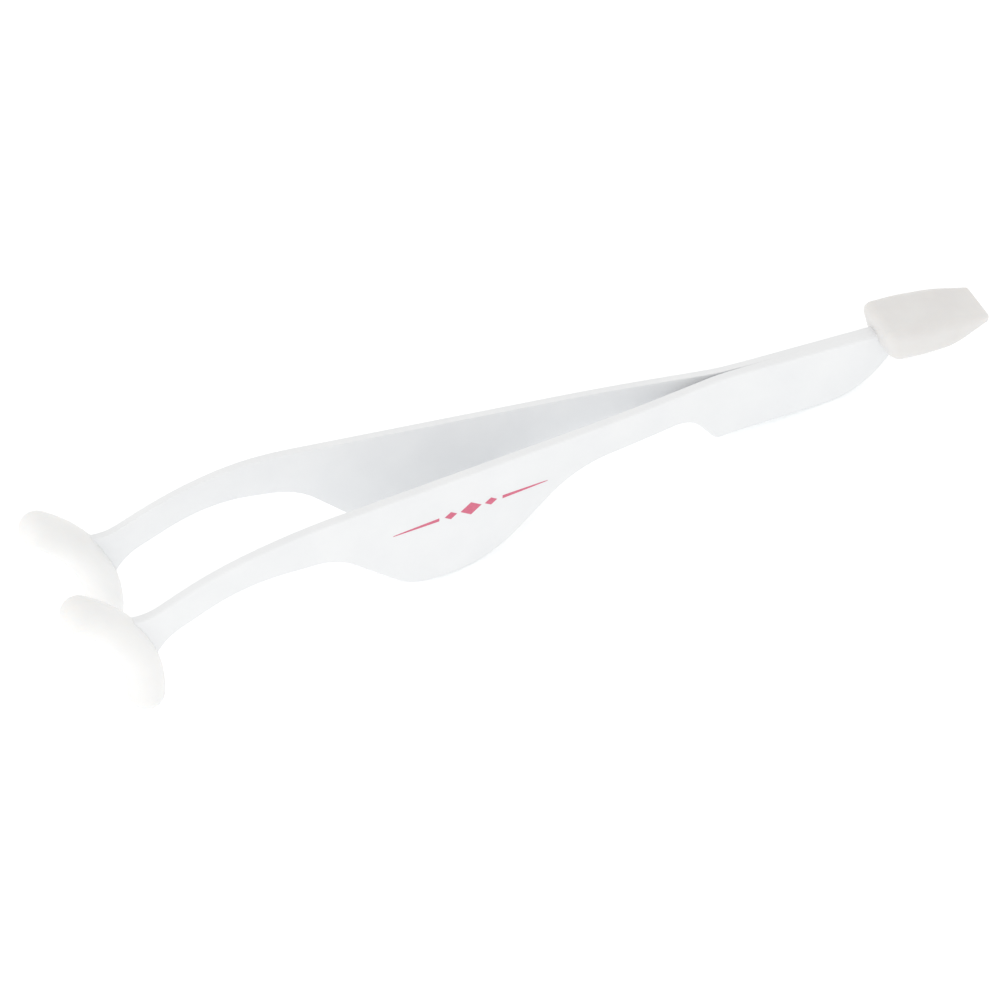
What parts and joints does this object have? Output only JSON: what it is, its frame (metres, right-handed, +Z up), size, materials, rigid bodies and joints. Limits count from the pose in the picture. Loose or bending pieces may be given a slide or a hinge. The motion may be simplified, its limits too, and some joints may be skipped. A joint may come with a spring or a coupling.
{
  "type": "eyelash applicator tweezers",
  "caption": "White false-eyelash applicator: sprung steel arms with finger bellies and curved silicone-sleeved jaws, joined at the rear under a wedge-shaped silicone cap.",
  "frame": {"origin": "centre of the footprint, on the surface it stands on", "axes": "+X from the jaws to the end cap, +Y from the left arm to the right arm, +Z up; it stands on the lowest points of its arms and of its rear plates"},
  "size_m": [0.1166, 0.0188, 0.0201],
  "materials": {
    "white_coat": "satin powder coat on spring steel",
    "sleeve_silicone": "matte white silicone",
    "cap_silicone": "matte warm white silicone"
  },
  "bodies": {
    "tail": {"left_arm_rear": "white_coat", "right_arm_rear": "white_coat", "end_cap": "cap_silicone"},
    "left_arm": {"left_arm_blade": "white_coat", "left_jaw_sleeve": "sleeve_silicone"},
    "right_arm": {"right_arm_blade": "white_coat", "right_jaw_sleeve": "sleeve_silicone"}
  },
  "joints": [
    {"name": "left_arm_flex", "type": "hinge", "parent": "tail", "child": "left_arm", "pos_m": [0.01701, -0.00164, 0.01133], "axis": [-0.1233, 0, -0.9924], "range_deg": [0, 3.8], "stiffness_Nm_per_rad": 0.9},
    {"name": "right_arm_flex", "type": "hinge", "parent": "tail", "child": "right_arm", "pos_m": [0.01701, 0.00164, 0.01133], "axis": [0.1233, 0, 0.9924], "range_deg": [0, 3.8], "stiffness_Nm_per_rad": 0.9}
  ]
}
